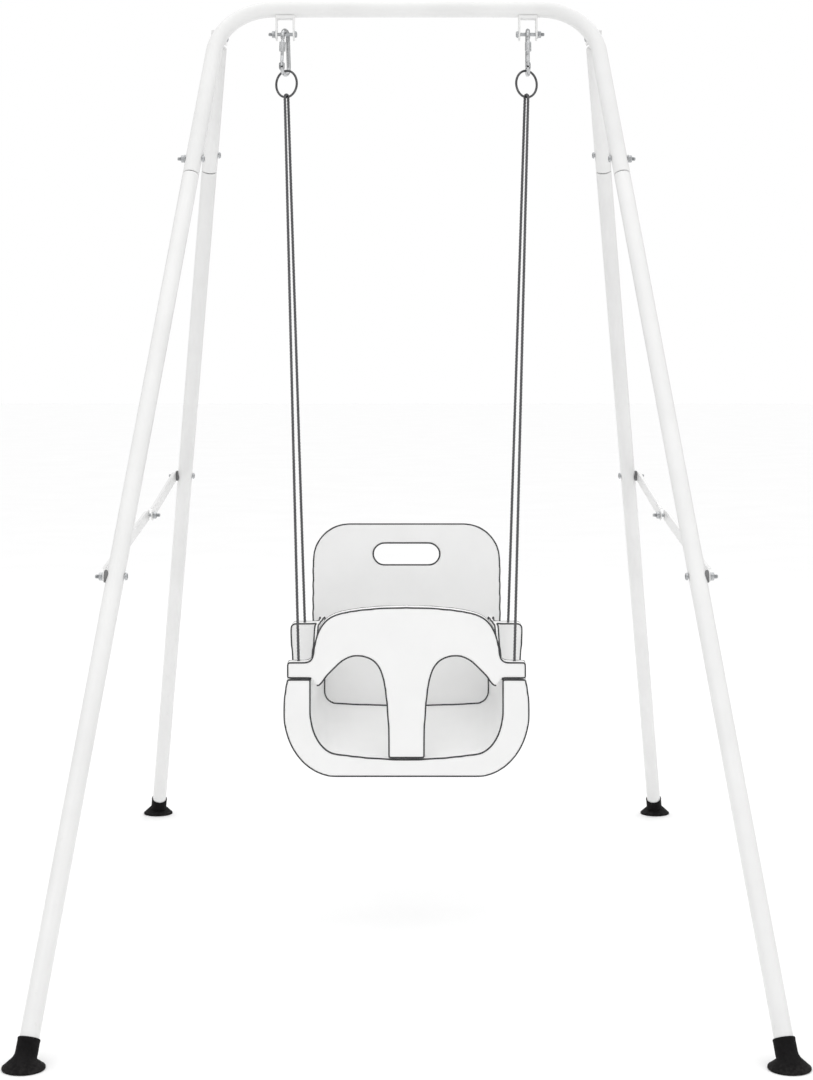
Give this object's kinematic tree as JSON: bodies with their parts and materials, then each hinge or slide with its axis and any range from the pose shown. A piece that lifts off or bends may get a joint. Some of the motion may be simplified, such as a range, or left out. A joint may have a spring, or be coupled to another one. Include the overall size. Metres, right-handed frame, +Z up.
{
  "type": "swing set",
  "caption": "Folding A-frame stand of white steel tube with rubber feet and folding side braces, holding a moulded toddler bucket seat on ropes, rings and snap hooks.",
  "frame": {"origin": "on the floor, midway between the feet", "axes": "+X along the top bar, -Y towards the front legs and the open front of the seat, +Z up"},
  "size_m": [1.051, 1.581, 1.505],
  "materials": {
    "white_tube": "white powder coat, smooth satin",
    "bolt_steel": "zinc plated",
    "snap_hook_steel": "polished zinc plated wire",
    "ring_steel": "dark zinc plated wire",
    "foot_rubber": "moulded matt rubber",
    "saddle_rubber": "moulded matt rubber",
    "rope": "braided cord",
    "seat_plastic": "white moulded polyethylene, fine texture"
  },
  "bodies": {
    "stand": {"top_tube": "white_tube", "front_leg_left": "white_tube", "front_foot_left": "foot_rubber", "front_joint_bolt_left": "bolt_steel", "hinge_bracket_left": "white_tube", "hinge_pin_left": "bolt_steel", "front_saddle_left": "saddle_rubber", "front_brace_bolt_left": "bolt_steel", "hanger_bracket_left": "white_tube", "hanger_bolt_left": "bolt_steel", "front_leg_right": "white_tube", "front_foot_right": "foot_rubber", "front_joint_bolt_right": "bolt_steel", "hinge_bracket_right": "white_tube", "hinge_pin_right": "bolt_steel", "front_saddle_right": "saddle_rubber", "front_brace_bolt_right": "bolt_steel", "hanger_bracket_right": "white_tube", "hanger_bolt_right": "bolt_steel"},
    "rear_leg_assembly_left": {"rear_top_tube_left": "white_tube", "rear_leg_left": "white_tube", "rear_foot_left": "foot_rubber", "rear_joint_bolt_left": "bolt_steel", "rear_saddle_left": "saddle_rubber", "rear_brace_bolt_left": "bolt_steel"},
    "front_brace_left": {"front_link_left": "white_tube", "brace_bolt_head_left": "bolt_steel"},
    "rear_brace_left": {"rear_link_left": "white_tube", "brace_bolt_nut_left": "bolt_steel"},
    "rear_leg_assembly_right": {"rear_top_tube_right": "white_tube", "rear_leg_right": "white_tube", "rear_foot_right": "foot_rubber", "rear_joint_bolt_right": "bolt_steel", "rear_saddle_right": "saddle_rubber", "rear_brace_bolt_right": "bolt_steel"},
    "front_brace_right": {"front_link_right": "white_tube", "brace_bolt_head_right": "bolt_steel"},
    "rear_brace_right": {"rear_link_right": "white_tube", "brace_bolt_nut_right": "bolt_steel"},
    "swing": {"carabiner_left": "snap_hook_steel", "ring_left": "ring_steel", "front_rope_left": "rope", "rear_rope_left": "rope", "carabiner_right": "snap_hook_steel", "ring_right": "ring_steel", "front_rope_right": "rope", "rear_rope_right": "rope", "seat_shell": "seat_plastic"},
    "gate_left": {"carabiner_gate_left": "snap_hook_steel"},
    "gate_right": {"carabiner_gate_right": "snap_hook_steel"},
    "guard": {"seat_guard": "seat_plastic"}
  },
  "joints": [
    {"name": "left_leg_fold", "type": "hinge", "parent": "stand", "child": "rear_leg_assembly_left", "pos_m": [-0.309, 0.01, 1.445], "axis": [-1, 0, 0], "range_deg": [0, 42.3]},
    {"name": "left_front_brace_fold", "type": "hinge", "parent": "stand", "child": "front_brace_left", "pos_m": [-0.43, -0.4527, 0.6056], "axis": [1, 0, 0], "range_deg": [0, 48.2]},
    {"name": "left_rear_brace_fold", "type": "hinge", "parent": "rear_leg_assembly_left", "child": "rear_brace_left", "pos_m": [-0.42, 0.3985, 0.6985], "axis": [-1, 0, 0], "range_deg": [0, 60.8]},
    {"name": "right_leg_fold", "type": "hinge", "parent": "stand", "child": "rear_leg_assembly_right", "pos_m": [0.309, 0.01, 1.445], "axis": [-1, 0, 0], "range_deg": [0, 42.3]},
    {"name": "right_front_brace_fold", "type": "hinge", "parent": "stand", "child": "front_brace_right", "pos_m": [0.43, -0.4527, 0.6056], "axis": [1, 0, 0], "range_deg": [0, 48.2]},
    {"name": "right_rear_brace_fold", "type": "hinge", "parent": "rear_leg_assembly_right", "child": "rear_brace_right", "pos_m": [0.42, 0.3985, 0.6985], "axis": [-1, 0, 0], "range_deg": [0, 60.8]},
    {"name": "swing", "type": "hinge", "parent": "stand", "child": "swing", "pos_m": [0, 0, 1.451], "axis": [1, 0, 0], "range_deg": [-40, 40]},
    {"name": "left_gate", "type": "hinge", "parent": "swing", "child": "gate_left", "pos_m": [-0.20506, -0.01252, 1.4003], "axis": [-0.9272, 0.3746, 0], "range_deg": [0, 20], "stiffness_Nm_per_rad": 0.05, "springref_deg": -17.19},
    {"name": "right_gate", "type": "hinge", "parent": "swing", "child": "gate_right", "pos_m": [0.2, -0.0135, 1.4003], "axis": [-1, 0, 0], "range_deg": [0, 20], "stiffness_Nm_per_rad": 0.05, "springref_deg": -17.19},
    {"name": "guard_slide", "type": "slide", "parent": "swing", "child": "guard", "axis": [0, 0.1021, 0.9948], "range_m": [0, 0.15]}
  ],
  "couplings": [
    {"joint": "left_front_brace_fold", "follows": "left_leg_fold", "ratio": 1.135},
    {"joint": "left_rear_brace_fold", "follows": "left_leg_fold", "ratio": 1.43},
    {"joint": "right_front_brace_fold", "follows": "right_leg_fold", "ratio": 1.135},
    {"joint": "right_rear_brace_fold", "follows": "right_leg_fold", "ratio": 1.43}
  ]
}
